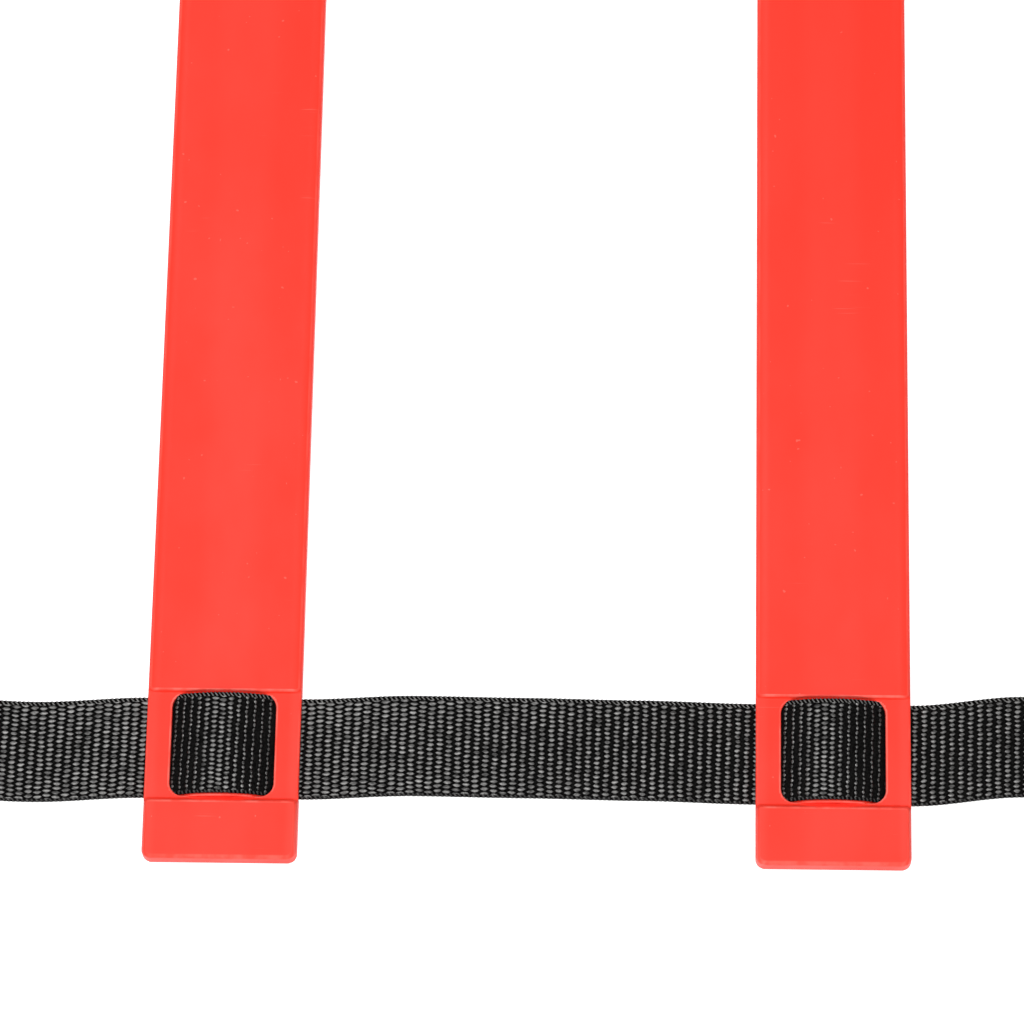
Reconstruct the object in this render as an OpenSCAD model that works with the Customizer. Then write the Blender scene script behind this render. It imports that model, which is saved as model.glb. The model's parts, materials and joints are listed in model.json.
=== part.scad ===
// Speed ladder: flat moulded rungs that slide on two webbing straps, with a D-ring sewn into
// each strap end. It lies flat: X runs along the straps, Y along the rungs, Z is up.
// The origin is the middle of the ladder, on the ground.

/* [Ladder] */
// Number of rungs
rung_count = 6; // [4:1:8]
// Distance between the middles of neighbouring rungs
rung_pitch = 150; // [140:1:400]

/* [Rungs] */
// Length of a rung, tip to tip
rung_len = 430; // [300:5:600]
// Width of a rung, along the straps
rung_w = 38; // [34:1:50]
// Thickness of a rung's body and tabs
rung_t = 5; // [4.6:0.1:8]
// Width of the bevel along the rung's long edges
bevel_w = 2.2; // [1:0.1:3]
// Height of that bevel
bevel_h = 0.8; // [0.4:0.1:1.5]
// Radius of a rung's outer corners
corner_r = 2.4; // [1:0.1:4]
// Length of the raised tab at each tip
tab_len = 16; // [8:0.5:25]
// Thickness of the outer walls under a rung
wall_t = 2; // [1.5:0.1:3]
// Thickness of a rung's top skin over its pockets
skin_t = 1.8; // [1.2:0.1:2.5]
// Number of pockets along a rung's underside
pocket_count = 7; // [3:1:12]

/* [Strap windows] */
// Width of a window between its two rails
window_w = 25.6; // [22:0.2:28]
// Radius of the window's corners
window_r = 3; // [1:0.5:5]
// Free space beside the strap, on each side
strap_gap = 0.3; // [0.3:0.1:1]
// Height of the top of the rails
rail_top = 4; // [3.5:0.1:4.4]
// Height of the underside of the rails
rail_under = 1.7; // [1.6:0.05:2.2]
// Length of the ledge between the raised body and the window
ledge_len = 0.5; // [0.3:0.1:3]
// Length of the ledge between the window and the tab
tab_ledge_len = 0.5; // [0.2:0.1:1.5]
// Width of the bar that the strap passes over
bar_w = 22; // [8:0.5:23]
// Height of the middle of that bar
bar_top = 5.2; // [4.8:0.1:5.6]

/* [Straps] */
// Width of the webbing
strap_w = 25.6; // [24:0.2:28]
// Thickness of the webbing
strap_t = 1.3; // [1:0.05:1.35]
// Distance from an end rung's middle to the ring's bar
tail_len = 109; // [105:1:160]
// Length of the sewn overlap at a strap end
overlap_len = 26; // [20:1:30]
// Width of a row of stitching
thread_w = 0.8; // [0.5:0.1:1.2]
// Height of the stitching above the webbing
thread_h = 0.3; // [0.2:0.1:0.5]

/* [Rings] */
// Diameter of the ring's wire
wire_d = 3.2; // [2.5:0.1:4]
// Free width inside the ring
ring_inner_w = 28; // [27:0.5:34]
// Length of the ring's straight sides
ring_side_len = 6; // [4:0.5:12]

/* [Hidden] */
$fn = 64;
eps = 0.01;
SIDES = ["front", "rear"];
ENDS = ["left", "right"];
fold_gap = 0.3; // between strap sections, where the webbing folds
fit_gap = 0.05; // between pieces that bear on each other
arch_gap = 0.2; // between an arch's feet and the rails
flat_gap = 0.6; // between the flat webbing and a window, where an arch takes over
arch_power = 2.4; // how square-shouldered an arch is: 2 is a parabola
arch_steps = 24;
bar_steps = 16;
bar_shoulder = 2; // from the bar's full height down to the body's ledge
bar_end_run = 0.2; // and down to the tab's ledge
bar_lift = 0.2; // how far the bar's underside is above the rails'
tab_step_slope = 3; // rise over run
stitch_inset = 3; // from the edge of the overlap to the stitching
ramp_len = 13; // from the loop down to the sewn overlap
ramp_flat = 1;
centre_rib_w = 1.6;
rib_t = 1.4;

strap_y = rung_len / 2 - tab_len - strap_gap - strap_w / 2;
slot_w = strap_w + 2 * strap_gap;
body_end = strap_y - slot_w / 2; // where the raised body's end wall stands
arch_half = window_w / 2 - arch_gap;
arch_foot = rail_under - fit_gap;
wire_r = wire_d / 2;
loop_in_r = wire_r + fit_gap;
loop_out_r = loop_in_r + strap_t;
pivot_z = loop_out_r;
ring_half_w = ring_inner_w / 2 + wire_r;
ring_reach = ring_side_len + ring_half_w;
ring_tilt = asin((pivot_z - wire_r) / ring_reach);
pivot_x = rung_x(rung_count) + tail_len;

// Middle of rung k, and the fold line after it
function rung_x(k) = (k - (rung_count + 1) / 2) * rung_pitch;
function fold_x(k) = (k - rung_count / 2) * rung_pitch;
function side_y(side) = side == "front" ? -strap_y : strap_y;
function end_sign(end) = end == "left" ? -1 : 1;

// Height of the webbing's underside where it rises over the bar
function arch_z(x) =
    arch_foot + (bar_top + fit_gap - arch_foot) * (1 - pow(abs(x) / arch_half, arch_power));

// A rectangle with true arcs for corners
module round_rect(w, h, r) {
    square([w - 2 * r, h], center = true);
    square([w, h - 2 * r], center = true);
    for (x = [-1, 1], y = [-1, 1])
        translate([x * (w / 2 - r), y * (h / 2 - r)])
            circle(r);
}

// A rung's section across its length, with the two long edges bevelled
module rung_section() {
    half = rung_w / 2;
    polygon([
        [-half, 0], [half, 0], [half, rung_t - bevel_h], [half - bevel_w, rung_t],
        [bevel_w - half, rung_t], [-half, rung_t - bevel_h]
    ]);
}

module rung_blank() {
    intersection() {
        linear_extrude(rung_t)
            round_rect(rung_w, rung_len, corner_r);
        rotate([90, 0, 0])
            linear_extrude(rung_len + 2, center = true)
                rung_section();
    }
}

// What is cut away above the rails, with a sloped step up to the body and to the tab
module rail_recess() {
    rise = rung_t - rail_top + eps;
    rotate([90, 0, 90])
        linear_extrude(rung_w + 2, center = true)
            polygon([
                [-slot_w / 2 - tab_ledge_len, rail_top], [slot_w / 2 + ledge_len, rail_top],
                [slot_w / 2 + ledge_len + rise, rung_t + eps],
                [-slot_w / 2 - tab_ledge_len - rise / tab_step_slope, rung_t + eps]
            ]);
}

module strap_window() {
    // the opening between the rails
    translate([0, 0, -1])
        linear_extrude(rung_t + 2)
            round_rect(window_w, slot_w, window_r);
    // the channel that the strap runs along, under both rails
    translate([-rung_w / 2 - 1, -slot_w / 2, -1])
        cube([rung_w + 2, slot_w, rail_under + 1]);
}

// The bar across a window: it is curved like the strap over it, and its ends slope to the ledges
module strap_bar() {
    under = rail_under + bar_lift;
    end = slot_w / 2;
    root = end + min(ledge_len, tab_ledge_len) / 2;
    xs = [for (i = [0:bar_steps]) bar_w * (0.5 - i / bar_steps)];
    intersection() {
        rotate([90, 0, 0])
            linear_extrude(slot_w + 2, center = true)
                polygon(concat(
                    [[-bar_w / 2, under], [bar_w / 2, under]],
                    [for (x = xs) [x, arch_z(x) - fit_gap]]
                ));
        rotate([90, 0, 90])
            linear_extrude(bar_w + 2, center = true)
                polygon([
                    [-root, 0], [root, 0], [root, rail_top], [root - bar_end_run, bar_top],
                    [bar_shoulder - end, bar_top], [-end, rail_top], [-root, rail_top]
                ]);
    }
}

// The pockets that leave a rung's underside as walls, a middle rib and cross ribs
module body_pockets() {
    pocket_w = (rung_w - centre_rib_w) / 2 - wall_t;
    clear_len = 2 * (body_end - wall_t);
    pocket_len = (clear_len + rib_t) / pocket_count - rib_t;
    for (x = [-1, 1], k = [0:pocket_count - 1])
        translate([
            x * (centre_rib_w + pocket_w) / 2,
            (pocket_len - clear_len) / 2 + k * (pocket_len + rib_t),
            -1
        ])
            linear_extrude(rung_t - skin_t + 1)
                square([pocket_w, pocket_len], center = true);
}

module tab_pocket() {
    pocket_w = (rung_w - centre_rib_w) / 2 - wall_t;
    for (x = [-1, 1])
        translate([x * (centre_rib_w + pocket_w) / 2, (rung_len - tab_len) / 2, -1])
            linear_extrude(rung_t - skin_t + 1)
                square([pocket_w, tab_len - 2 * wall_t], center = true);
}

// One rung: body, end tabs, windows with their bars, and the pockets underneath
module rung(k) {
    color("tomato")
        translate([rung_x(k), 0, 0]) {
            difference() {
                rung_blank();
                body_pockets();
                for (turn = [0, 180])
                    rotate([0, 0, turn]) {
                        tab_pocket();
                        translate([0, strap_y, 0]) {
                            mirror([0, 1, 0])
                                rail_recess();
                            strap_window();
                        }
                    }
            }
            for (turn = [0, 180])
                rotate([0, 0, turn])
                    translate([0, strap_y, 0])
                        strap_bar();
        }
}

// A flat stretch of webbing between two places along X
module flat_strap(from_x, to_x) {
    translate([from_x, -strap_w / 2, 0])
        cube([to_x - from_x, strap_w, strap_t]);
}

// The part of a strap that lies between two fold lines, broken where it rises over a rung's bar
module strap_section(side, k) {
    x = rung_x(k);
    start_x = k == 1 ? -pivot_x : fold_x(k - 1) + fold_gap / 2;
    end_x = k == rung_count ? pivot_x : fold_x(k) - fold_gap / 2;
    rise_x = window_w / 2 + flat_gap;
    color("dimgray")
        translate([0, side_y(side), 0]) {
            flat_strap(start_x, x - rise_x);
            flat_strap(x + rise_x, end_x);
        }
}

// The part of a strap that arches over a rung's bar, with corners that follow the window's
module strap_arch(side, k) {
    xs = [for (i = [0:arch_steps]) arch_half * (2 * i / arch_steps - 1)];
    under = [for (x = xs) [x, arch_z(x)]];
    over = [for (i = [arch_steps:-1:0]) [xs[i], arch_z(xs[i]) + strap_t]];
    color("dimgray")
        translate([rung_x(k), side_y(side), 0])
            intersection() {
                rotate([90, 0, 0])
                    linear_extrude(strap_w, center = true)
                        polygon(concat(under, over));
                linear_extrude(2 * rung_t)
                    round_rect(2 * arch_half, strap_w, window_r);
            }
}

// Puts its children at a strap end, with their +X pointing away from the ladder
module at_end(side, end) {
    translate([end_sign(end) * pivot_x, side_y(side), 0])
        mirror([end == "left" ? 1 : 0, 0, 0])
            children();
}

// The strap end: round the ring's bar, then back over the strap to the sewn overlap
module end_loop(side, end) {
    top_z = 2 * loop_out_r;
    color("dimgray")
        at_end(side, end)
            rotate([90, 0, 0])
                linear_extrude(strap_w, center = true) {
                    difference() {
                        translate([0, pivot_z])
                            circle(loop_out_r);
                        translate([0, pivot_z])
                            circle(loop_in_r);
                        translate([-2 * loop_out_r, -1])
                            square([2 * loop_out_r, top_z + 2]);
                    }
                    polygon([
                        [0, top_z], [-ramp_flat, top_z], [-ramp_flat - ramp_len, 2 * strap_t + eps],
                        [-ramp_flat - ramp_len - overlap_len, 2 * strap_t + eps],
                        [-ramp_flat - ramp_len - overlap_len, strap_t + eps],
                        [-ramp_flat - ramp_len, strap_t + eps], [-ramp_flat, top_z - strap_t],
                        [0, top_z - strap_t]
                    ]);
                }
}

// A box of stitching with a cross inside it, sewn through the overlap
module stitching(side, end) {
    box_len = overlap_len - 2 * stitch_inset;
    box_w = strap_w - 2 * stitch_inset;
    color("gray")
        at_end(side, end)
            translate([-ramp_flat - ramp_len - overlap_len / 2, 0, 2 * strap_t + 2 * eps])
                linear_extrude(thread_h) {
                    difference() {
                        square([box_len, box_w], center = true);
                        square([box_len - 2 * thread_w, box_w - 2 * thread_w], center = true);
                    }
                    for (turn = [-1, 1])
                        rotate(turn * atan2(box_w, box_len))
                            square([norm([box_len, box_w]) - 2 * thread_w, thread_w], center = true);
                }
}

// A wire D-ring: the straight bar lies in the strap's loop and the bow rests on the ground
module d_ring(side, end) {
    color("silver")
        at_end(side, end)
            translate([0, 0, pivot_z])
                rotate([0, ring_tilt, 0]) {
                    rotate([90, 0, 0])
                        cylinder(r = wire_r, h = 2 * ring_half_w, center = true);
                    for (y = [-1, 1])
                        translate([0, y * ring_half_w, 0]) {
                            sphere(wire_r);
                            rotate([0, 90, 0])
                                cylinder(r = wire_r, h = ring_side_len);
                        }
                    translate([ring_side_len, 0, 0])
                        rotate([0, 0, -90])
                            rotate_extrude(angle = 180)
                                translate([ring_half_w, 0])
                                    circle(wire_r);
                }
}

for (k = [1:rung_count])
    rung(k);
for (side = SIDES, k = [1:rung_count])
    strap_section(side, k);
for (side = SIDES, k = [1:rung_count])
    strap_arch(side, k);
for (side = SIDES, end = ENDS)
    end_loop(side, end);
for (side = SIDES, end = ENDS)
    stitching(side, end);
for (side = SIDES, end = ENDS)
    d_ring(side, end);
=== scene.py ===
"""The looks of the speed ladder: moulded rungs, woven straps, sewn strap ends and wire D-rings.

Lengths in this file are millimetres until a mesh is made, because webbing and mouldings are made
in millimetres. make_piece() turns them into metres, in the frame of the CAD model.
"""
import json
import math

import bpy
import numpy as np
from mathutils import Matrix, Vector


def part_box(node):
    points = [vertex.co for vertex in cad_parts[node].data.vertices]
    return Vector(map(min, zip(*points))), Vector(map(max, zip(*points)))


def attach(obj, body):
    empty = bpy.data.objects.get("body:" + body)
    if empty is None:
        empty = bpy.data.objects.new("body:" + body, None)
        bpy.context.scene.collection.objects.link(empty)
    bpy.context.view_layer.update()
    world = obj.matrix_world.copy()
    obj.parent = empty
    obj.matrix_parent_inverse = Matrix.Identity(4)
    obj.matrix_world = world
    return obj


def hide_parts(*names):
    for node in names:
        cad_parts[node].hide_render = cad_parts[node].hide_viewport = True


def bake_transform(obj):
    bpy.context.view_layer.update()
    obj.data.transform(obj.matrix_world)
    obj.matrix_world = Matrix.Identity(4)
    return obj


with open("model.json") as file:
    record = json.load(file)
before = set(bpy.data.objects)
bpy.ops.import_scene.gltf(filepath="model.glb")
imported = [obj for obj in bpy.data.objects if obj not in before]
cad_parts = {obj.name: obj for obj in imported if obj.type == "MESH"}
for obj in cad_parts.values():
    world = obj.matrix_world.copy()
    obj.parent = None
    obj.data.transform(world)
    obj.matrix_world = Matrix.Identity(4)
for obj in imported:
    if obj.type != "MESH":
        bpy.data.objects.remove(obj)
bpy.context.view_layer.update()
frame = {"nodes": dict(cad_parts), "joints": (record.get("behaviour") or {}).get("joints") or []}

MM = 0.001
SIDES = ("front", "rear")
ENDS = ("left", "right")


# ---------------------------------------------------------------- what the CAD model says

def box_mm(node):
    low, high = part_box(node)
    return np.array(low) / MM, np.array(high) / MM


def joint_named(name):
    return next(j for j in frame["joints"] if j["name"] == name)


RUNG_COUNT = sum(name.startswith("rung_") for name in frame["nodes"])
RUNG_X = {k: box_mm(f"rung_{k}")[0][0] / 2 + box_mm(f"rung_{k}")[1][0] / 2
          for k in range(1, RUNG_COUNT + 1)}
RUNG_HALF_W = (box_mm("rung_1")[1][0] - box_mm("rung_1")[0][0]) / 2
RUNG_HALF_LEN = box_mm("rung_1")[1][1]
STRAP_Y = {side: (box_mm(f"strap_{side}_1")[0][1] + box_mm(f"strap_{side}_1")[1][1]) / 2
           for side in SIDES}
STRAP_W = box_mm("strap_front_1")[1][1] - box_mm("strap_front_1")[0][1]
STRAP_T = box_mm("strap_front_1")[1][2]
SLIDE = joint_named("rung_1_slide")["range_m"][1] / MM
PIVOT_X = abs(joint_named("ring_front_left_swing")["pos_m"][0]) / MM
PIVOT_Z = joint_named("ring_front_left_swing")["pos_m"][2] / MM

# The moulding's own sizes, as the CAD model has them
RUNG_T = 5.0
RUNG_CORNER = 2.4
RAIL_TOP = 4.0
RAIL_UNDER = 1.7
BAR_TOP = 5.2
BAR_UNDER = 1.9
BAR_HALF_W = 11.0
BAR_SHOULDER = 2.0       # from the bar's full height down to the body's ledge
ARCH_HALF = 12.6         # half length of the arch that the bar's top follows
ARCH_POWER = 2.4
FIT_GAP = 0.05
WINDOW_HALF_W = 12.8
SLOT_HALF = STRAP_W / 2 + 0.3
LEDGE = 0.5              # between the slot for the strap and the bar's ends
WALL = 2.0
SKIN = 1.8               # thickness of the plastic over the pockets underneath
POCKET_PITCH = 49.0
LAST_POCKET = 3          # counted from the one in the rung's middle, which is 0
RIB_HALF = 0.7           # half thickness of the ribs across
SPINE_HALF = 0.8         # half thickness of the rib along the middle
TAB_POCKET_Y = 207.0
TAB_POCKET_HALF = 6.0

# The softer shapes of the moulding, which only the visual model has
BODY_LEDGE = 0.15        # between the slot and the foot of the step up to the body
BEVEL_W, BEVEL_H = 3.0, 0.8    # how far the body's long edges fall away, across and down
STEP_RUN = 0.7           # length over which the step up to the body rises
TAB_STEP_RUN = 1.2       # and the step up to the tab
STEP_CORNER = 1.6        # radius of both steps' corners, seen from above
STEP_OVERHANG = 0.3      # how far past the rung's sides the tab's step would end
WINDOW_CORNER = 3.4
EDGE_R, TAB_EDGE_R = 0.5, 1.1
FOOT_R, RIM_R = 0.35, 0.3

# The weave of the webbing
COLUMN = 2.29            # length of one float of yarn and its gap, along the strap
ARCH_COLUMN = 1.90       # the same where the webbing bends over a bar and packs closer
ROW_W = STRAP_W / 21.5   # width of one float, across the strap
WOVEN_HALF_W = STRAP_W / 2 + 0.1    # from the middle to the tips of the edges' loops
FLAT_OPEN = 0.40         # half length of a float's lens in flat webbing, in columns
HIGHLIGHT_OPEN = 0.46        # the same where the light catches an arch: floats drawn longer there, in shape and colour, as a painted highlight
HIGHLIGHT_PLACES = (-2.5, -1.0)    # where that painted highlight is centred on even and odd rungs, from a rung's middle, left of the crest
HIGHLIGHT_HALF_W = 4.6       # and how far to each side
SLOPE_OPEN = 0.16        # and on its slopes, where the floats are drawn short as painted shade, leaving only their crowns pale
OPEN_DRIFT = 0.06        # how much that half length drifts along a stretch between two rungs
EDGE_OPEN = 0.25         # how much longer the floats are near the strap's edges
FLOAT_HALF_W = 0.48      # half width of a float's lens, in rows
FLOAT_H = 0.28           # how far a float stands above the ground weave
SKEW = 0.024             # how far the columns lean from square across the strap
SWAY, SWAY_TURN = 0.13, 2.4    # how far the columns stray across from a true stagger, in rows
COLUMN_WAVER, ROW_WAVER = 0.05, 0.12    # how far they wander besides, in columns and in rows
GROUND_H = 0.25          # how high the ground weave rises between two columns, in floats
SELVEDGE = 1.2           # width of the looped edge
EDGE_RELIEF = 0.6        # how much of the weave's relief its edges keep
LOOPS_FROM, LOOPS_FULL = 0.10, 0.22    # where the loops take over, in shares of the selvedge
LOOP_SLANT = 0.9         # how far a loop leans along the strap, in loops
KNUCKLES_FROM, KNUCKLES_FULL = 0.35, 0.60    # the same for the smaller loops of the plain edge
KNUCKLE_SLANT = 0.5
KNUCKLE_H = 0.6          # and how high they stand, in floats

# How the webbing lies
WINDOW_EDGE = 13.0       # from a rung's middle to where the flat webbing ends, under a rail
# how far each stretch between two rungs strays sideways, as laid by hand: at a quarter, half and
# three quarters of its length
BOW = {
    "front": ((0.1, 0.18, 0.1), (-0.15, -0.2, -1.4), (1.2, 0.95, 0.6), (2.6, 0.18, 0.1),
              (-0.1, -0.18, -0.1)),
    "rear": ((-0.1, -0.18, -0.1), (0.15, 0.18, 0.1), (-0.1, -0.18, -0.15), (0.1, 0.18, 0.15),
             (0.15, 0.18, 0.1)),
}


def ease(share):
    """A smooth rise from 0 to 1 as share goes from 0 to 1."""
    share = np.clip(share, 0, 1)
    return share ** 2 * (3 - 2 * share)


def spaced(start, stop, step):
    """Places from start to stop, about step apart."""
    return np.linspace(start, stop, max(2, int(round((stop - start) / step)) + 1))


def bar_height(x):
    """Height of the bar's top across a window, from the middle of the rung."""
    foot = RAIL_UNDER - 2 * FIT_GAP
    return foot + (BAR_TOP - foot) * (1 - (abs(x) / ARCH_HALF) ** ARCH_POWER)


# ---------------------------------------------------------------- camera and stage

CAMERA_PLACE = (0.0309, -0.5360, 1.1666)
CAMERA_TILT = 19.56
CAMERA_YAW = 4.98
CAMERA_ROLL = -4.15
CAMERA_LENS = 173.68


def turn(degrees, axis):
    return Matrix.Rotation(math.radians(degrees), 4, axis)


def link(obj):
    bpy.context.scene.collection.objects.link(obj)
    return obj


def add_camera():
    camera = link(bpy.data.objects.new("camera", bpy.data.cameras.new("camera")))
    camera.data.lens = CAMERA_LENS
    camera.data.clip_start = 0.05
    camera.data.clip_end = 60
    camera.matrix_world = (
        Matrix.Translation(CAMERA_PLACE) @ turn(CAMERA_YAW, "Z") @ turn(CAMERA_TILT, "X")
        @ turn(CAMERA_ROLL, "Z")
    )
    bpy.context.scene.camera = camera


def add_softbox(name, place, target, size, watts):
    light = link(bpy.data.objects.new(name, bpy.data.lights.new(name, "AREA")))
    light.data.shape = "RECTANGLE"
    light.data.size, light.data.size_y = size
    light.data.energy = watts
    light.location = place
    aim = Vector(target) - Vector(place)
    light.rotation_mode = "QUATERNION"
    light.rotation_quaternion = aim.to_track_quat("-Z", "Y")


def add_stage():
    half, drop = 14.0, 0.0003
    mesh = bpy.data.meshes.new("floor")
    mesh.from_pydata([(-half, -half, 0), (half, -half, 0), (half, half, 0), (-half, half, 0)],
                     [], [(0, 1, 2, 3)])
    floor = link(bpy.data.objects.new("floor", mesh))
    floor.location.z = -drop
    material = bpy.data.materials.new("pale_floor")
    material.use_nodes = True
    shader = material.node_tree.nodes["Principled BSDF"]
    shader.inputs["Base Color"].default_value = (0.5, 0.5, 0.5, 1)
    shader.inputs["Roughness"].default_value = 0.9
    shader.inputs["Specular IOR Level"].default_value = 0.0
    shader.inputs["Emission Color"].default_value = (1, 1, 1, 1)
    shader.inputs["Emission Strength"].default_value = 0.9
    mesh.materials.append(material)

    world = bpy.data.worlds.new("studio")
    bpy.context.scene.world = world
    world.use_nodes = True
    background = world.node_tree.nodes["Background"]
    background.inputs["Color"].default_value = (1, 1, 1, 1)
    background.inputs["Strength"].default_value = 0.08

    bpy.context.scene.view_settings.view_transform = "Standard"
    add_softbox("overhead", (-0.25, -0.02, 1.6), (-0.1, -0.1, 0), (1.45, 1.45), 30)
    add_softbox("front", (0.3, -2.1, 1.2), (0, 0, 0), (2.0, 1.2), 30)


# ---------------------------------------------------------------- materials

def new_material(name):
    material = bpy.data.materials.new(name)
    material.use_nodes = True
    tree = material.node_tree
    return material, tree, tree.nodes["Principled BSDF"]


def node(tree, kind, inputs=(), **settings):
    """A node with its settings and inputs, where an input may be a value or another socket."""
    made = tree.nodes.new(kind)
    for key, value in settings.items():
        setattr(made, key, value)
    for key, value in dict(inputs).items():
        if isinstance(value, bpy.types.NodeSocket):
            tree.links.new(value, made.inputs[key])
        else:
            made.inputs[key].default_value = value
    return made


def attribute(tree, name, output="Fac"):
    return node(tree, "ShaderNodeAttribute", attribute_name=name).outputs[output]


def stretched(tree, scale):
    """The rest place of each point, scaled by axis, for textures that stay put in every pose."""
    return node(tree, "ShaderNodeVectorMath", {0: attribute(tree, "rest", "Vector"), 1: scale},
                operation="MULTIPLY").outputs[0]


def noise(tree, scale, detail=3.0, roughness=0.5):
    return node(tree, "ShaderNodeTexNoise",
                {"Vector": stretched(tree, scale), "Scale": 1.0, "Detail": detail,
                 "Roughness": roughness}).outputs["Fac"]


def remap(tree, value, from_low, from_high, to_low, to_high):
    return node(tree, "ShaderNodeMapRange",
                {"Value": value, "From Min": from_low, "From Max": from_high,
                 "To Min": to_low, "To Max": to_high},
                interpolation_type="SMOOTHSTEP").outputs["Result"]


def mix(tree, factor, first, second):
    made = tree.nodes.new("ShaderNodeMix")
    made.data_type = "RGBA"
    colours = [s for s in made.inputs if s.type == "RGBA"]
    for socket, value in zip((made.inputs["Factor"], *colours), (factor, first, second)):
        if isinstance(value, bpy.types.NodeSocket):
            tree.links.new(value, socket)
        else:
            socket.default_value = value
    return next(s for s in made.outputs if s.type == "RGBA")


def maths(tree, operation, first, second):
    return node(tree, "ShaderNodeMath", {0: first, 1: second}, operation=operation).outputs[0]


def bump(tree, height, distance, strength=1.0, normal=None):
    inputs = {"Height": height, "Distance": distance, "Strength": strength}
    if normal is not None:
        inputs["Normal"] = normal
    return node(tree, "ShaderNodeBump", inputs).outputs["Normal"]


def red_plastic():
    material, tree, shader = new_material("moulded_plastic")
    curve = attribute(tree, "curve")
    across = attribute(tree, "across")
    mottle = noise(tree, (28, 9, 28), 4.0)
    # painted shading: the long edges, where the bevels catch the light, and the middle third are a
    # little paler than the bands between them
    edge_light_band = remap(tree, across, 0.80, 0.93, 0.0, 1.0)
    middle_light_band = remap(tree, across, 0.20, 0.52, 1.0, 0.0)
    bands = maths(tree, "MAXIMUM", edge_light_band, maths(tree, "MULTIPLY", middle_light_band, 0.45))
    paler = maths(tree, "ADD", bands, remap(tree, mottle, 0.35, 0.70, -0.15, 0.35))
    body = mix(tree, paler, (0.92, 0.036, 0.019, 1), (0.93, 0.047, 0.029, 1))
    # a painted highlight: the raised edges are paler, as if catching the light, the steps more than
    # the long sides, broken up by noise
    edge_highlight = maths(tree, "MULTIPLY", remap(tree, curve, 0.2, 0.65, 0.0, 0.75),
                 remap(tree, noise(tree, (260, 110, 260), 5.0), 0.35, 0.62, 0.35, 1.0))
    edge_highlight = maths(tree, "MULTIPLY", edge_highlight, remap(tree, across, 0.88, 0.94, 1.0, 0.35))
    body = mix(tree, edge_highlight, body, (0.98, 0.170, 0.135, 1))
    # faint scuffs that run mostly across the rung, and a few pale specks
    scuff_lines = noise(tree, (45, 2600, 45), 2.0)
    scuff_places = noise(tree, (70, 60, 70), 2.0)
    scuffs = maths(tree, "MULTIPLY", remap(tree, scuff_lines, 0.66, 0.74, 0.0, 1.0),
                   remap(tree, scuff_places, 0.60, 0.70, 0.0, 0.4))
    specks = remap(tree, noise(tree, (900, 900, 900), 0.0), 0.865, 0.89, 0.0, 0.5)
    marks = maths(tree, "MAXIMUM", scuffs, specks)
    body = mix(tree, marks, body, (0.95, 0.18, 0.14, 1))
    tree.links.new(body, shader.inputs["Base Color"])
    rough = remap(tree, noise(tree, (60, 35, 60), 5.0, 0.6), 0.3, 0.7, 0.34, 0.46)
    tree.links.new(maths(tree, "ADD", rough, maths(tree, "MULTIPLY", marks, 0.15)),
                   shader.inputs["Roughness"])
    ripple = bump(tree, noise(tree, (55, 20, 55), 2.0), 0.00025, 0.5)
    grain = bump(tree, noise(tree, (1900, 1900, 1900), 2.0), 0.000012, 0.8, ripple)
    tree.links.new(bump(tree, marks, 0.00003, 0.6, grain), shader.inputs["Normal"])
    shader.inputs["Specular IOR Level"].default_value = 0.12
    return material


def edge_loops(tree, along, edge, slant):
    """The slanting loops that close an edge of the webbing, two to a column: 1 on their crowns."""
    turned = maths(tree, "ADD", maths(tree, "MULTIPLY", along, 2.0),
                   maths(tree, "MULTIPLY", edge, slant))
    wave = maths(tree, "SINE", maths(tree, "MULTIPLY", turned, math.pi), 0.0)
    return maths(tree, "ABSOLUTE", wave, 0.0)


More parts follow.
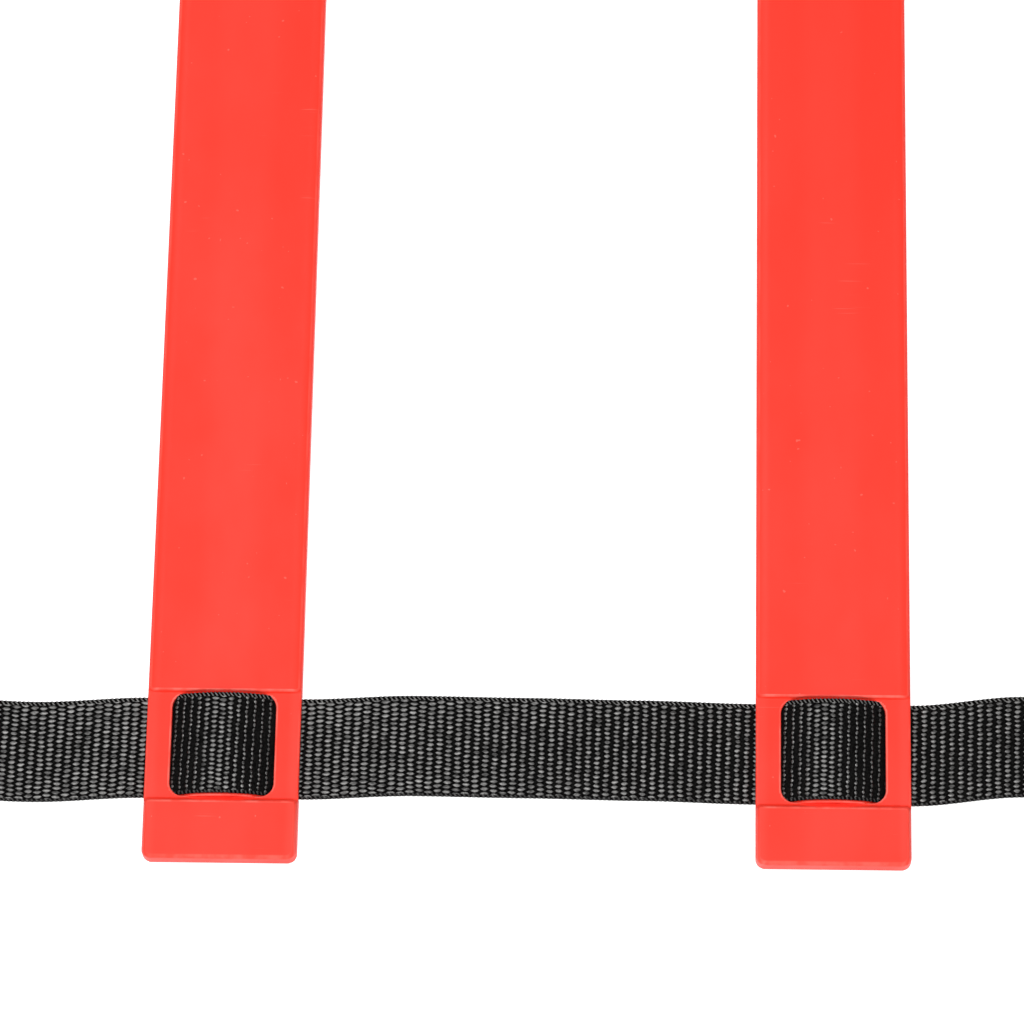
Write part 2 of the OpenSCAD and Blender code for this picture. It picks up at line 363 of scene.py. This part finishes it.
def webbing():
    """Black webbing: lens-shaped floats of yarn in staggered columns, with looped edges."""
    material, tree, shader = new_material("webbing")
    lay = node(tree, "ShaderNodeSeparateXYZ", {0: attribute(tree, "weave", "Vector")}).outputs
    along, across, edge = lay["X"], lay["Y"], lay["Z"]
    column = maths(tree, "FLOOR", along, 0.0)
    stagger = maths(tree, "MULTIPLY", maths(tree, "FLOORED_MODULO", column, 2.0), 0.5)
    sway_wave = maths(tree, "SINE", maths(tree, "MULTIPLY", column, SWAY_TURN), 0.0)
    sway = maths(tree, "MULTIPLY", sway_wave, SWAY)
    row_place = maths(tree, "ADD", across, maths(tree, "ADD", stagger, sway))
    row = maths(tree, "FLOOR", row_place, 0.0)
    u = maths(tree, "DIVIDE", maths(tree, "SUBTRACT", maths(tree, "FRACT", along, 0.0), 0.5),
              attribute(tree, "open"))
    v = maths(tree, "DIVIDE", maths(tree, "SUBTRACT", maths(tree, "FRACT", row_place, 0.0), 0.5),
              FLOAT_HALF_W)
    from_middle = maths(tree, "ADD", maths(tree, "MULTIPLY", u, u), maths(tree, "ABSOLUTE", v, 0.0))
    float_yarn = remap(tree, from_middle, 0.65, 1.0, 1.0, 0.0)
    cell = node(tree, "ShaderNodeCombineXYZ", {"X": column, "Y": row})
    tone = node(tree, "ShaderNodeTexWhiteNoise", {"Vector": cell.outputs[0]}).outputs["Value"]
    fibres = noise(tree, (450, 9000, 450), 2.0)

    # painted light: the floats' grey stands in for the sheen of black yarn, and the near-black
    # ground is painted shade in the weave's hollows, darkest in the slits between rows
    slits = remap(tree, maths(tree, "ABSOLUTE", u, 0.0), 0.55, 1.05, 0.0, 1.0)
    ground_grain = remap(tree, noise(tree, (2600, 2600, 2600), 3.0), 0.35, 0.65, 0.2, 1.0)
    ground = mix(tree, maths(tree, "MULTIPLY", slits, ground_grain), (0.0015, 0.0014, 0.0014, 1),
                 (0.008, 0.0078, 0.0076, 1))
    streaks = remap(tree, noise(tree, (700, 2600, 700), 2.0), 0.35, 0.65, 0.0, 1.0)
    lit = maths(tree, "ADD", maths(tree, "MULTIPLY", tone, 0.45),
                maths(tree, "MULTIPLY", streaks, 0.55))
    yarn_sheen_colour = mix(tree, lit, (0.030, 0.0295, 0.029, 1), (0.198, 0.195, 0.191, 1))
    colour = mix(tree, float_yarn, ground, yarn_sheen_colour)

    # pale loops close the inner edge, and smaller, darker ones the outer edge: their pale crowns
    # are painted highlights on black yarn
    loop = edge_loops(tree, along, edge, LOOP_SLANT)
    loops = mix(tree, remap(tree, loop, 0.70, 1.0, 0.0, 1.0), (0.0015, 0.0014, 0.0014, 1),
                (0.13, 0.128, 0.124, 1))
    colour = mix(tree, remap(tree, edge, LOOPS_FROM, LOOPS_FULL, 0.0, 1.0), colour, loops)
    knuckle = edge_loops(tree, along, edge, KNUCKLE_SLANT)
    knuckles = mix(tree, remap(tree, knuckle, 0.65, 1.0, 0.0, 1.0), (0.002, 0.002, 0.002, 1),
                   (0.055, 0.054, 0.053, 1))
    colour = mix(tree, remap(tree, edge, -KNUCKLES_FULL, -KNUCKLES_FROM, 0.9, 0.0),
                 colour, knuckles)
    # a little lint and dust lies in the weave
    dust = remap(tree, noise(tree, (90, 90, 90), 4.0), 0.55, 0.75, 0.0, 0.02)
    colour = mix(tree, dust, colour, (0.10, 0.095, 0.088, 1))
    tree.links.new(colour, shader.inputs["Base Color"])
    tree.links.new(remap(tree, float_yarn, 0.0, 1.0, 0.75, 0.36), shader.inputs["Roughness"])
    # the filaments of the floats shine along their length; the ground between them is dull
    tree.links.new(maths(tree, "MULTIPLY", float_yarn, 0.6), shader.inputs["Metallic"])
    relief = bump(tree, float_yarn, 0.00010, 0.6)
    tree.links.new(bump(tree, fibres, 0.00003, 0.6, relief), shader.inputs["Normal"])
    shader.inputs["Specular IOR Level"].default_value = 0.0
    return material


def sewing_thread():
    material, tree, shader = new_material("thread")
    twist_and_sheen = node(tree, "ShaderNodeTexWave",
                 {"Vector": stretched(tree, (1400, 900, 1400)), "Scale": 1.0, "Distortion": 1.5},
                 wave_type="BANDS", bands_direction="DIAGONAL").outputs["Fac"]
    # black thread: the twist's pale bands are a painted sheen on its plies, and the twist also
    # raises the bump
    tree.links.new(mix(tree, twist_and_sheen, (0.018, 0.018, 0.018, 1), (0.125, 0.122, 0.118, 1)),
                   shader.inputs["Base Color"])
    tree.links.new(remap(tree, noise(tree, (300, 300, 300)), 0.3, 0.7, 0.38, 0.55),
                   shader.inputs["Roughness"])
    tree.links.new(bump(tree, twist_and_sheen, 0.00008, 0.8), shader.inputs["Normal"])
    return material


def plated_steel():
    material, tree, shader = new_material("ring_steel")
    shader.inputs["Metallic"].default_value = 1.0
    patches = noise(tree, (120, 120, 120), 5.0, 0.6)
    tree.links.new(mix(tree, patches, (0.52, 0.52, 0.53, 1), (0.72, 0.715, 0.70, 1)),
                   shader.inputs["Base Color"])
    hairlines = noise(tree, (350, 2200, 350), 3.0)
    rough = maths(tree, "ADD", remap(tree, patches, 0.3, 0.7, 0.16, 0.28),
                  remap(tree, hairlines, 0.55, 0.75, 0.0, 0.12))
    tree.links.new(rough, shader.inputs["Roughness"])
    tree.links.new(bump(tree, hairlines, 0.00002, 0.5), shader.inputs["Normal"])
    return material


# ---------------------------------------------------------------- making pieces

def make_piece(name, points, quads, material, caps=(), normals=None, **attributes):
    """A smooth mesh piece from points in mm, four-sided faces, and a few many-sided cap faces."""
    mesh = bpy.data.meshes.new(name)
    corners = np.concatenate([np.asarray(quads).ravel(), *[np.asarray(cap) for cap in caps]])
    sizes = np.array([4] * len(quads) + [len(cap) for cap in caps])
    mesh.vertices.add(len(points))
    mesh.vertices.foreach_set("co", (np.asarray(points) * MM).astype(np.float32).ravel())
    mesh.loops.add(len(corners))
    mesh.loops.foreach_set("vertex_index", corners.astype(np.int32))
    mesh.polygons.add(len(sizes))
    starts = np.concatenate([[0], np.cumsum(sizes)[:-1]])
    mesh.polygons.foreach_set("loop_start", starts.astype(np.int32))
    mesh.update(calc_edges=True)
    mesh.validate()
    mesh.shade_smooth()
    rest = mesh.attributes.new("rest", "FLOAT_VECTOR", "POINT")
    rest.data.foreach_set("vector", (np.asarray(points) * MM).astype(np.float32).ravel())
    for key, values in attributes.items():
        flat = np.asarray(values, np.float32)
        layer = mesh.attributes.new(key, "FLOAT_VECTOR" if flat.ndim == 2 else "FLOAT", "POINT")
        layer.data.foreach_set("vector" if flat.ndim == 2 else "value", flat.ravel())
    if normals is not None:
        mesh.normals_split_custom_set_from_vertices(normals.astype(np.float32))
    mesh.materials.append(material)
    return link(bpy.data.objects.new(name, mesh))


def grid_quads(rows, columns, wrap):
    """Faces of a grid of points, row by row; with wrap, the last column joins the first."""
    row, column = np.meshgrid(np.arange(rows - 1), np.arange(columns if wrap else columns - 1),
                              indexing="ij")
    beside = (column + 1) % columns
    a, b = row * columns + column, row * columns + beside
    return np.stack([a, b, b + columns, a + columns], -1).reshape(-1, 4)


def skin_of(field, axes):
    """The surface where field is zero, as points, faces and normals, from a grid of samples.

    One point stands in each grid cell that the surface crosses, and four cells round each crossed
    grid edge make a face. The points are then drawn onto the surface along the field's slope.
    """
    grid = np.meshgrid(*axes, indexing="ij")
    values = field(*grid)
    shape = tuple(len(axis) - 1 for axis in axes)
    total, hits, crossings = np.zeros((np.prod(shape), 3)), np.zeros(np.prod(shape)), []
    for axis in range(3):
        low = np.take(values, range(values.shape[axis] - 1), axis)
        high = np.take(values, range(1, values.shape[axis]), axis)
        index = np.argwhere((low < 0) != (high < 0))
        other = [(axis + 1) % 3, (axis + 2) % 3]
        inside = [(index[:, o] > 0) & (index[:, o] < values.shape[o] - 1) for o in other]
        index = index[np.all(inside, 0)]
        at = tuple(index.T)
        share = low[at] / (low[at] - high[at])
        place = np.stack([axes[i][index[:, i]] for i in range(3)], 1)
        step = axes[axis][index[:, axis] + 1] - axes[axis][index[:, axis]]
        place[:, axis] += share * step
        cells = []
        for b, c in ((1, 1), (0, 1), (0, 0), (1, 0)):
            cell = index.copy()
            cell[:, other[0]] -= b
            cell[:, other[1]] -= c
            flat = np.ravel_multi_index(tuple(cell.T), shape)
            np.add.at(total, flat, place)
            np.add.at(hits, flat, 1)
            cells.append(flat)
        cells = np.stack(cells, 1)
        inside_first = low[at] < 0
        cells[~inside_first] = cells[~inside_first][:, ::-1]
        crossings.append(cells)
    used = hits > 0
    number = np.cumsum(used) - 1
    points = total[used] / hits[used, None]
    quads = number[np.concatenate(crossings)]

    def slope(p, h=0.02):
        parts = [(field(*(p + h * e).T) - field(*(p - h * e).T)) / (2 * h) for e in np.eye(3)]
        return np.stack(parts, 1)

    pulls, longest_pull, least_slope = 3, 0.15, 0.5
    for _ in range(pulls):
        g = slope(points)
        pull = field(*points.T) / np.maximum((g * g).sum(1), least_slope ** 2)
        points = points - np.clip(pull, -longest_pull, longest_pull)[:, None] * g
    g = slope(points)
    return points, quads, g / np.maximum(np.linalg.norm(g, axis=1), 1e-9)[:, None]


# ---------------------------------------------------------------- the moulded rungs

def box_field(*sides):
    """Distance from a box or a rectangle, given how far past its half size a point is each way."""
    outside = np.sqrt(sum(np.maximum(s, 0) ** 2 for s in sides))
    inside = sides[0]
    for s in sides[1:]:
        inside = np.maximum(inside, s)
    return outside + np.minimum(inside, 0)


def plate_field(x, y, half_w, half_len, corner):
    """Distance from a rectangle with rounded corners, seen from above."""
    return box_field(abs(x) - half_w + corner, abs(y) - half_len + corner) - corner


def cut(first, second, r):
    """Where both are inside, with the edge between them rounded to radius r."""
    a, b = np.maximum(first + r, 0), np.maximum(second + r, 0)
    return np.minimum(np.maximum(first, second), -r) + np.hypot(a, b)


def rung_top(x, y, body_end, tab_start):
    """Height of a rung's upper side: its rails, and the body and tab that stand above them."""
    edge = np.clip((abs(x) - RUNG_HALF_W + BEVEL_W) / BEVEL_W, 0, 1)
    body_plan = plate_field(x, y, RUNG_HALF_W, body_end, STEP_CORNER)
    on_body = ease(-body_plan / STEP_RUN)
    tab_half_len = RUNG_HALF_LEN - tab_start
    tab_plan = plate_field(x, y - tab_start - tab_half_len, RUNG_HALF_W + STEP_OVERHANG,
                           tab_half_len, STEP_CORNER)
    on_tab = ease(-tab_plan / TAB_STEP_RUN)
    raised = RUNG_T - RAIL_TOP
    return RAIL_TOP + on_body * (raised - BEVEL_H * edge ** 2) + on_tab * raised


def rung_field(x, y, z):
    """Distance from a rung's surface, with the rung's middle at x = 0: negative inside."""
    y = abs(y)
    strap_y = STRAP_Y["rear"]
    inner, outer = strap_y - SLOT_HALF, strap_y + SLOT_HALF
    outline = plate_field(x, y, RUNG_HALF_W, RUNG_HALF_LEN, RUNG_CORNER)
    top = z - rung_top(x, y, inner - BODY_LEDGE, outer + LEDGE)
    edge_r = EDGE_R + (TAB_EDGE_R - EDGE_R) * ease((y - outer) / 2)
    solid = cut(cut(outline, top, edge_r), -z, FOOT_R)
    window = plate_field(x, y - strap_y, WINDOW_HALF_W, SLOT_HALF, WINDOW_CORNER)
    solid = cut(solid, -window, RIM_R)
    channel = box_field(abs(y - strap_y) - SLOT_HALF, z - RAIL_UNDER)
    solid = cut(solid, -channel, FOOT_R)

    pocket_half_w = (RUNG_HALF_W - WALL - SPINE_HALF) / 2
    beside_spine = abs(abs(x) - SPINE_HALF - pocket_half_w) - pocket_half_w
    pocket_y = POCKET_PITCH * np.clip(np.round(y / POCKET_PITCH), 0, LAST_POCKET)
    above = z - RUNG_T + SKIN
    body_pocket = box_field(beside_spine, abs(y - pocket_y) - POCKET_PITCH / 2 + RIB_HALF, above)
    tab_pocket = box_field(beside_spine, abs(y - TAB_POCKET_Y) - TAB_POCKET_HALF, above)
    solid = cut(solid, -np.minimum(body_pocket, tab_pocket), RIM_R)

    # the bar slopes down to the body's ledge, and stops short of the tab at its full height
    slope = (BAR_TOP - RAIL_TOP) / BAR_SHOULDER
    shoulder = ((inner - y) * slope + z - RAIL_TOP) / math.hypot(slope, 1)
    crown_share = 0.85       # on the bar's slopes, about the distance for each height above them
    shoulder_r, side_r, under_r, end_r = 0.5, 0.4, 0.3, 0.25
    bar = cut((z - bar_height(x)) * crown_share, shoulder, shoulder_r)
    bar = cut(bar, abs(x) - BAR_HALF_W, side_r)
    bar = cut(cut(bar, BAR_UNDER - z, under_r), y - outer - LEDGE / 2, end_r)
    return np.minimum(solid, np.maximum(bar, inner - LEDGE / 2 - y))


def rung_axes():
    """Sample places: close together where the moulding has detail, far apart elsewhere."""
    fine, coarse, step_fine, rib_fine, fine_up, least = 0.44, 7.0, 0.2, 0.32, 0.29, 0.09
    past = 0.8               # how far the samples go past the moulding
    fine_from = STRAP_Y["rear"] - SLOT_HALF - 4.5
    half = [spaced(fine_from, RUNG_HALF_LEN + past, fine), spaced(0, fine_from, coarse)]
    for step_at in (-SLOT_HALF - LEDGE - STEP_RUN / 2, SLOT_HALF + LEDGE + TAB_STEP_RUN / 2):
        half.append(STRAP_Y["rear"] + step_at + spaced(-0.8, 0.8, step_fine))
    for rib in range(LAST_POCKET):
        half.append((rib + 0.5) * POCKET_PITCH + spaced(-1.6, 1.6, rib_fine))
    half = np.unique(np.round(np.concatenate(half), 3))
    half = half[np.concatenate([[True], np.diff(half) > least])]
    ys = np.concatenate([-half[:0:-1], half])
    xs = spaced(-RUNG_HALF_W - past, RUNG_HALF_W + past, fine)
    return xs, ys, spaced(-0.6, BAR_TOP + 0.7, fine_up)


def add_rungs(material):
    points, quads, normals = skin_of(rung_field, rung_axes())
    # the mean curvature marks the raised edges that get the painted highlight: above 0 where the
    # surface bulges
    reach, most = 0.4, 2.0
    around = sum(rung_field(*(points + reach * e * s).T) for e in np.eye(3) for s in (-1, 1))
    curve = (around - 6 * rung_field(*points.T)) / reach ** 2 / 2
    across = abs(points[:, 0]) / RUNG_HALF_W
    for k, x in RUNG_X.items():
        rung = make_piece(f"rung_moulding_{k}", points + [x, 0, 0], quads, material,
                          normals=normals, curve=np.clip(curve, -most, most), across=across)
        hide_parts(f"rung_{k}")
        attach(rung, f"rung_{k}")


# ---------------------------------------------------------------- the woven straps

def weave(s, t, looped_side, column_len, open_by):
    """Depth below the float tops at s along and t across, and the place in the weave's pattern."""
    along, across = (s - SKEW * t) / column_len, t / ROW_W
    along, across = (along + COLUMN_WAVER * np.sin(1.7 * across + 0.9 * along),
                     across + ROW_WAVER * np.sin(1.3 * along + 0.37 * across))
    column = np.floor(along)
    place = across + 0.5 * np.mod(column, 2) + SWAY * np.sin(column * SWAY_TURN)
    u = (along - column - 0.5) / open_by
    v = (place - np.floor(place) - 0.5) / FLOAT_HALF_W
    height = np.sqrt(np.clip(1 - u ** 4 - v * v, 0, 1))
    height = np.maximum(height, GROUND_H * np.clip((abs(u) - 0.8) / 0.4, 0, 1))
    from_edge = STRAP_W / 2 - abs(t)
    edge = np.clip(1 - from_edge / SELVEDGE, 0, 1) * np.sign(t) * looped_side
    loop = abs(np.sin(np.pi * (2 * along + LOOP_SLANT * edge)))
    share = np.clip((edge - LOOPS_FROM) / (LOOPS_FULL - LOOPS_FROM), 0, 1)
    height = height * (1 - share) + loop * share
    knuckle = KNUCKLE_H * abs(np.sin(np.pi * (2 * along + KNUCKLE_SLANT * edge)))
    share = np.clip((-edge - KNUCKLES_FROM) / (KNUCKLES_FULL - KNUCKLES_FROM), 0, 1)
    height = height * (1 - share) + knuckle * share
    return (1 - height) * FLOAT_H, np.stack([along, across, edge], -1)


def strap_section(half_w, thick, fine):
    """Points round a strap's section: across, up, and the outward direction at each of them."""
    round_r = 0.35
    flat = half_w - round_r
    top_steps, coarse_steps, under_steps = 120, 72, 48
    top = np.linspace(-flat, flat, (top_steps if fine else coarse_steps) + 1)
    under = np.linspace(flat, -flat, under_steps + 1)
    angles = np.radians([70, 45, 15, -15, -45, -70])
    across = [top, flat + round_r * np.cos(angles), under, -flat - round_r * np.cos(angles[::-1])]
    down_side = (thick / 2 - round_r) * np.sign(angles) + round_r * np.sin(angles)
    up = [np.full(len(top), thick / 2), down_side, np.full(len(under), -thick / 2), down_side[::-1]]
    out_across = [0 * top, np.cos(angles), 0 * under, -np.cos(angles)]
    out_up = [0 * top + 1, np.sin(angles), 0 * under - 1, np.sin(angles[::-1])]
    return [np.concatenate(part) for part in (across, up, out_across, out_up)]


def ribbon(name, along, path, y, material, half_w=WOVEN_HALF_W, thick=STRAP_T, lowest=None,
           fine=True, column_len=COLUMN, open_by=FLAT_OPEN):
    """A length of webbing whose middle follows path: x, z and the way its upper face looks.

    along is the distance along the weave at each ring of points, and y the middle line's place
    across. open_by is the half length of the floats, the same everywhere or given at each ring.
    Nothing of the webbing goes below lowest.
    """
    across, up, out_across, out_up = strap_section(half_w, thick, fine)
    s, t = np.meshgrid(along, across, indexing="ij")
    looped_side = 1 if y[0] < 0 else -1
    open_at = np.reshape(open_by, (-1, 1)) * (1 + EDGE_OPEN * (t / half_w) ** 2)
    depth, lay = weave(s, t, looped_side, column_len, open_at)
    x, z, normal_x, normal_z = (path[:, i][:, None] for i in range(4))
    lift = up[None, :] - depth * out_up[None, :]
    points = np.stack([x + lift * normal_x,
                       y[:, None] + across[None, :] - depth * out_across[None, :] * EDGE_RELIEF,
                       z + lift * normal_z], -1)
    if lowest is not None:
        points[..., 2] = np.maximum(points[..., 2], lowest)
    rings, ring = points.shape[:2]
    points = points.reshape(-1, 3)
    quads = grid_quads(rings, ring, wrap=True)
    caps = [np.arange(ring), (rings - 1) * ring + np.arange(ring)[::-1]]
    a, b, c = points[quads[0, 0]], points[quads[0, 1]], points[quads[0, 3]]
    outward = np.cross(b - a, c - a) @ np.array([path[0, 2], 0, path[0, 3]])
    if outward < 0:
        quads, caps = quads[:, ::-1], [cap[::-1] for cap in caps]
    piece = make_piece(name, points, quads, material, caps, weave=lay.reshape(-1, 3),
                       open=open_at.ravel())
    return piece


def weave_steps(start, stop, per_column=8):
    return spaced(start, stop, COLUMN / per_column)


def flat_path(xs, height):
    return np.stack([xs, np.full(len(xs), height), 0 * xs, 0 * xs + 1], 1)


def sideways(side, bay, xs, start, stop):
    """The webbing's middle line across, which strays between two rungs."""
    stray = np.array([0, *BOW[side][bay - 1], 0])
    quarters = np.clip((xs - start) / (stop - start), 0, 1) * 4
    before = np.minimum(np.floor(quarters), 3).astype(int)
    share = quarters - before
    return STRAP_Y[side] + stray[before] + (stray[before + 1] - stray[before]) * ease(share)


def add_strap_bay(side, k, material):
    """The webbing between rungs k and k + 1, which folds at its middle."""
    start, stop = RUNG_X[k] + WINDOW_EDGE, RUNG_X[k + 1] - WINDOW_EDGE
    xs = weave_steps(start, stop)
    y = sideways(side, k, xs, RUNG_X[k] + RUNG_HALF_W, RUNG_X[k + 1] - RUNG_HALF_W)
    drift = OPEN_DRIFT * (1 if k % 2 else -1) * np.cos(np.pi * (xs - start) / (stop - start))
    piece = ribbon(f"webbing_{side}_bay_{k}", xs, flat_path(xs, STRAP_T / 2), y, material,
                   open_by=FLAT_OPEN + drift)
    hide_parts(f"strap_{side}_{k}")
    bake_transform(piece)


def add_slack(side, k, direction, material):
    """The webbing that feeds out from under a rail as rung k slides, packed close while at rest.

    It is as long as the whole slide when it is pulled out, and lies inside the flat webbing.
    """
    held, moving = RUNG_X[k] + direction * RUNG_HALF_W, RUNG_X[k] + direction * WINDOW_EDGE
    packed = np.linspace(held, moving, 4001)
    share = (packed - held) / (moving - held)
    pulled = packed - direction * SLIDE * ease(share)
    along = weave_steps(min(pulled[0], pulled[-1]), max(pulled[0], pulled[-1]), per_column=5)
    order = np.argsort(pulled)
    xs = np.interp(along, pulled[order], packed[order])
    y = np.full(len(xs), STRAP_Y[side])
    end = "left" if direction < 0 else "right"
    narrower, thinner, sunk = 0.15, 0.16, 0.02
    piece = ribbon(f"webbing_{side}_slack_{k}_{end}", along, flat_path(xs, STRAP_T / 2 - sunk), y,
                   material, half_w=STRAP_W / 2 - narrower, thick=STRAP_T - thinner, fine=False)
    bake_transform(piece)


def add_arch(side, k, material):
    """The webbing that rises through rung k's window and over its bar."""
    local = np.linspace(-WINDOW_EDGE, WINDOW_EDGE, 401)
    foot_drop = 1.05         # how far the arch's feet lie below the bar's own curve
    past_bar = (abs(local) - BAR_HALF_W) / (WINDOW_EDGE - BAR_HALF_W)
    under = bar_height(local) + FIT_GAP - foot_drop * ease(past_bar)
    length = np.concatenate([[0], np.cumsum(np.hypot(np.diff(local), np.diff(under)))])
    along = spaced(0, length[-1], ARCH_COLUMN / 8)
    x, z = np.interp(along, length, local), np.interp(along, length, under)
    slope_x, slope_z = np.gradient(x, along), np.gradient(z, along)
    size = np.hypot(slope_x, slope_z)
    normal_x, normal_z = -slope_z / size, slope_x / size
    path = np.stack([RUNG_X[k] + x + normal_x * STRAP_T / 2, z + STRAP_T / 2,
                     normal_x, normal_z], 1)
    y = np.full(len(along), STRAP_Y[side])
    # painted highlight: the floats are longer, in shape and colour, where the light catches the
    # arch, and short on its shaded slopes
    highlight_share = np.exp(-((x - HIGHLIGHT_PLACES[k % 2]) / HIGHLIGHT_HALF_W) ** 2)
    clear = 0.06             # of the flat webbing that passes under the feet when the rung slides
    piece = ribbon(f"webbing_{side}_arch_{k}", along, path, y, material, lowest=STRAP_T + clear,
                   column_len=ARCH_COLUMN, open_by=SLOPE_OPEN + (HIGHLIGHT_OPEN - SLOPE_OPEN) * highlight_share)
    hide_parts(f"strap_arch_{side}_{k}")
    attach(piece, f"rung_{k}")


def end_path():
    """The strap end's middle line: outward to the ring's bar, round it, and back over itself.

    Each row is a distance outward from the bar's middle and a height.
    """
    mid = PIVOT_Z - STRAP_T / 2
    level, ramp, overlap, gap = 1.0, 13.0, 26.0, 0.02
    inmost = PIVOT_X - RUNG_X[RUNG_COUNT] - WINDOW_EDGE
    lower = np.array([[u, STRAP_T / 2] for u in spaced(-inmost, 0, 0.3)])
    loop = np.array([[mid * math.sin(a), PIVOT_Z - mid * math.cos(a)]
                     for a in np.linspace(0, math.pi, 40)[1:]])
    low, high = STRAP_T * 1.5 + gap, PIVOT_Z + mid
    share = np.linspace(0, 1, 50)[1:]
    down = np.stack([-level - ramp * share, high + (low - high) * ease(share)], 1)
    over = np.array([[u, low] for u in np.linspace(-level - ramp, -level - ramp - overlap, 90)[1:]])
    return np.concatenate([lower, loop, [[-level, high]], down, over])


def add_strap_end(side, end, material):
    """From the last rung's window out to the ring, round its bar and back over itself."""
    sign = -1 if end == "left" else 1
    k = 1 if end == "left" else RUNG_COUNT
    line = end_path()
    length = np.concatenate([[0], np.cumsum(np.hypot(*np.diff(line, axis=0).T))])
    along = weave_steps(0, length[-1])
    out, up = np.interp(along, length, line[:, 0]), np.interp(along, length, line[:, 1])
    step_out, step_up = np.gradient(out, along), np.gradient(up, along)
    size = np.hypot(step_out, step_up)
    path = np.stack([sign * (PIVOT_X + out), up, -sign * step_up / size, step_out / size], 1)
    y = np.full(len(along), STRAP_Y[side])
    piece = ribbon(f"webbing_{side}_end_{end}", along, path, y, material)
    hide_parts(f"end_loop_{side}_{end}")
    if end == "right":
        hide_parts(f"strap_{side}_{RUNG_COUNT}")
    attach(piece, f"strap_{k}")


# ---------------------------------------------------------------- stitching and rings

def stitch_line(start, stop, pitch=2.5):
    """Middles and directions of the stitches between two corners of the pattern."""
    start, stop = np.array(start, float), np.array(stop, float)
    count = max(1, int(round(np.linalg.norm(stop - start) / pitch)))
    direction = (stop - start) / np.linalg.norm(stop - start)
    return [(start + (stop - start) * (i + 0.5) / count, direction) for i in range(count)]


def add_stitching(side, end, material):
    """A sewn box with a cross in it: each stitch is a short rounded length of thread."""
    low, high = box_mm(f"stitching_{side}_{end}")
    inset = 0.5
    left, right = low[0] + inset, high[0] - inset
    front, rear = low[1] + inset, high[1] - inset
    corners = [(left, front), (right, front), (right, rear), (left, rear)]
    stitches = []
    for i in range(4):
        stitches += stitch_line(corners[i], corners[(i + 1) % 4])
    stitches += stitch_line(corners[0], corners[2]) + stitch_line(corners[1], corners[3])
    thread_r, half_len, end_sag, clear = 0.34, 1.05, 0.20, 0.02
    rings, ring, first_ring, fullness = 9, 10, 0.12, 0.6
    lat = np.linspace(first_ring, math.pi - first_ring, rings)
    turn_at = np.linspace(0, 2 * math.pi, ring, endpoint=False)
    run = -np.cos(lat) * half_len
    wide = thread_r * np.sin(lat) ** fullness
    sag = -end_sag * (run / half_len) ** 2
    points, quads, caps = [], [], []
    for middle, direction in stitches:
        beside = np.array([-direction[1], direction[0]])
        size = len(points) * rings * ring
        flat = (middle + run[:, None, None] * direction
                + (wide[:, None] * np.cos(turn_at))[..., None] * beside)
        up = low[2] + clear + sag[:, None] + wide[:, None] * np.sin(turn_at)
        points.append(np.concatenate([flat, up[..., None]], -1).reshape(-1, 3))
        quads.append(grid_quads(rings, ring, wrap=True)[:, ::-1] + size)
        caps += [size + np.arange(ring), size + (rings - 1) * ring + np.arange(ring)[::-1]]
    piece = make_piece(f"thread_{side}_{end}", np.concatenate(points), np.concatenate(quads),
                       material, caps)
    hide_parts(f"stitching_{side}_{end}")
    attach(piece, "strap_1" if end == "left" else f"strap_{RUNG_COUNT}")


def add_ring(side, end, material):
    """A wire D-ring: its bar in the strap's loop, its corners bent, its bow on the ground."""
    sign = -1 if end == "left" else 1
    low, high = box_mm(f"ring_{side}_{end}")
    wire_r, bend_r, straight = 1.6, 3.2, 6.0
    half_w = (high[1] - low[1]) / 2 - wire_r
    tilt = math.asin((PIVOT_Z - wire_r) / (straight + half_w))
    bow = [(straight + half_w * math.cos(a), half_w * math.sin(a))
           for a in np.linspace(-math.pi / 2, math.pi / 2, 48)]
    bends = []
    for y_sign in (1, -1):
        arc = [(bend_r * (1 - math.cos(a)), y_sign * (half_w - bend_r + bend_r * math.sin(a)))
               for a in np.linspace(math.pi / 2, 0, 10)]
        bends.append(arc if y_sign > 0 else arc[::-1])
    bar = [(0, y) for y in np.linspace(half_w - bend_r - 2, -half_w + bend_r + 2, 16)]
    line = np.array(bow + bends[0] + bar + bends[1])
    ahead, behind = np.roll(line, -1, 0), np.roll(line, 1, 0)
    run = (ahead - behind) / np.linalg.norm(ahead - behind, axis=1)[:, None]
    side_way = np.stack([run[:, 1], -run[:, 0]], 1)
    angles = np.linspace(0, 2 * math.pi, 28, endpoint=False)
    flat = line[:, None, :] + wire_r * np.cos(angles)[None, :, None] * side_way[:, None, :]
    up = np.broadcast_to(wire_r * np.sin(angles), flat.shape[:2])
    out = flat[..., 0] * math.cos(tilt) + up * math.sin(tilt)
    height = PIVOT_Z - flat[..., 0] * math.sin(tilt) + up * math.cos(tilt)
    points = np.stack([sign * (PIVOT_X + out), STRAP_Y[side] + flat[..., 1], height], -1)
    rings, ring = points.shape[:2]
    quads = grid_quads(rings + 1, ring, wrap=True) % (rings * ring)
    if sign < 0:
        quads = quads[:, ::-1]
    piece = make_piece(f"d_ring_{side}_{end}", points.reshape(-1, 3), quads, material)
    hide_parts(f"ring_{side}_{end}")
    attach(piece, f"ring_{side}_{end}")


# ---------------------------------------------------------------- the whole ladder

add_camera()
add_stage()
add_rungs(red_plastic())
black_webbing = webbing()
for side in SIDES:
    for k in range(1, RUNG_COUNT):
        add_strap_bay(side, k, black_webbing)
    for k in range(1, RUNG_COUNT + 1):
        add_arch(side, k, black_webbing)
        for direction in (-1, 1):
            add_slack(side, k, direction, black_webbing)
thread, steel = sewing_thread(), plated_steel()
for side in SIDES:
    for end in ENDS:
        add_strap_end(side, end, black_webbing)
        add_stitching(side, end, thread)
        add_ring(side, end, steel)
